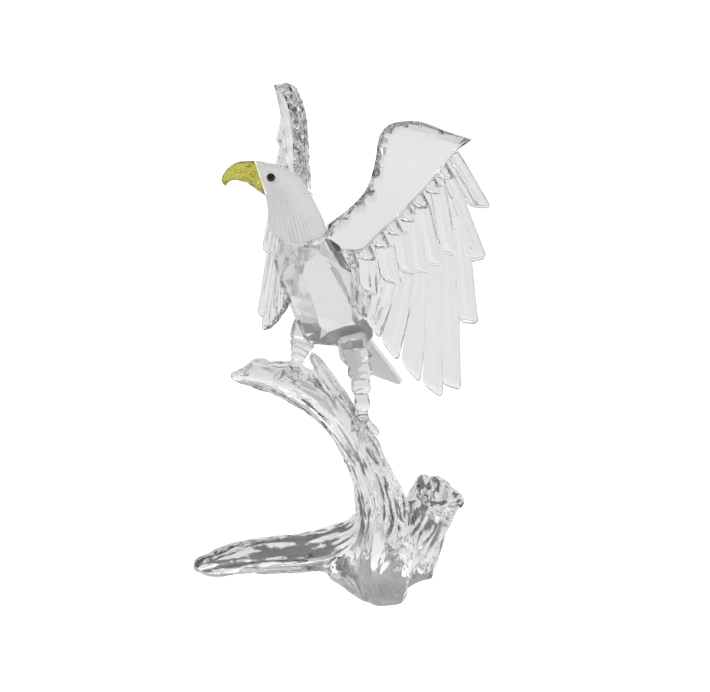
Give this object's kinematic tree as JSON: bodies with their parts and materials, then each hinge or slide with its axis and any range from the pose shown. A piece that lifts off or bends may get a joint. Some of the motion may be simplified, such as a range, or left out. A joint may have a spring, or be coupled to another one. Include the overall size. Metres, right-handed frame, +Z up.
{
  "type": "crystal eagle figurine",
  "caption": "Cut crystal eagle with raised wings, frosted head and tail, yellow beak and jet eyes, perched on a crystal driftwood branch.",
  "frame": {"origin": "on the flat underside of the branch, under the middle of its main foot", "axes": "+Z up, +X to the right and +Y away as the figurine is usually seen, with the eagle looking to the left"},
  "size_m": [0.0994, 0.0707, 0.1701],
  "materials": {
    "clear_crystal": "clear, cut and polished",
    "frosted_crystal": "frosted",
    "yellow_crystal": "yellow, polished",
    "jet_crystal": "black, polished"
  },
  "bodies": {
    "root": {"branch": "clear_crystal", "body": "clear_crystal", "wing_left": "clear_crystal", "wing_right": "clear_crystal", "leg_left": "clear_crystal", "leg_right": "clear_crystal", "head": "frosted_crystal", "tail": "frosted_crystal", "beak": "yellow_crystal", "eye_left": "jet_crystal", "eye_right": "jet_crystal"}
  },
  "joints": []
}
